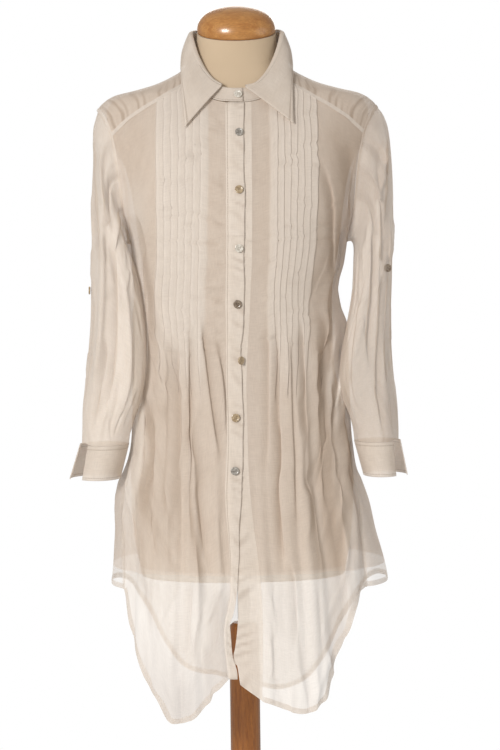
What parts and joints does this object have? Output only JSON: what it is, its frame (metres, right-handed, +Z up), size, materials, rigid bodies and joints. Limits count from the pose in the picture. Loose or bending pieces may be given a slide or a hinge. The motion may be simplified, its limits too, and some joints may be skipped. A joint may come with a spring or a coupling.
{
  "type": "blouse on dress form",
  "caption": "Long sheer pintucked blouse with collar, buttoned front, curved tails and open cuffs, worn on a limbless dress form with a wooden neck cap, pole and foot",
  "frame": {"origin": "On the floor under the centre of the stand's pole", "axes": "+Z is up, the garment's front faces -Y, and +X is the wearer's left"},
  "size_m": [0.487, 0.38, 1.5311],
  "materials": {
    "cotton_voile": "sheer crinkled cream cotton voile",
    "shell_button": "polished mother-of-pearl shell",
    "form_canvas": "smooth cream jersey over a hard torso",
    "cap_wood": "varnished honey-brown turned wood",
    "rod_steel": "plain round rod",
    "pole_wood": "varnished red-brown turned wood"
  },
  "bodies": {
    "root": {"front_right": "cotton_voile", "front_left": "cotton_voile", "back": "cotton_voile", "yoke": "cotton_voile", "button_band_right": "cotton_voile", "button_band_left": "cotton_voile", "collar_stand": "cotton_voile", "collar": "cotton_voile", "sleeve_right": "cotton_voile", "sleeve_left": "cotton_voile", "cuff_right": "cotton_voile", "cuff_left": "cotton_voile", "button_1": "shell_button", "button_2": "shell_button", "button_3": "shell_button", "button_4": "shell_button", "button_5": "shell_button", "button_6": "shell_button", "button_7": "shell_button", "button_8": "shell_button", "sleeve_button_right": "shell_button", "sleeve_button_left": "shell_button", "form_torso": "form_canvas", "form_neck_cap": "cap_wood", "form_rod": "rod_steel", "form_pole": "pole_wood", "form_base": "pole_wood"}
  },
  "joints": []
}
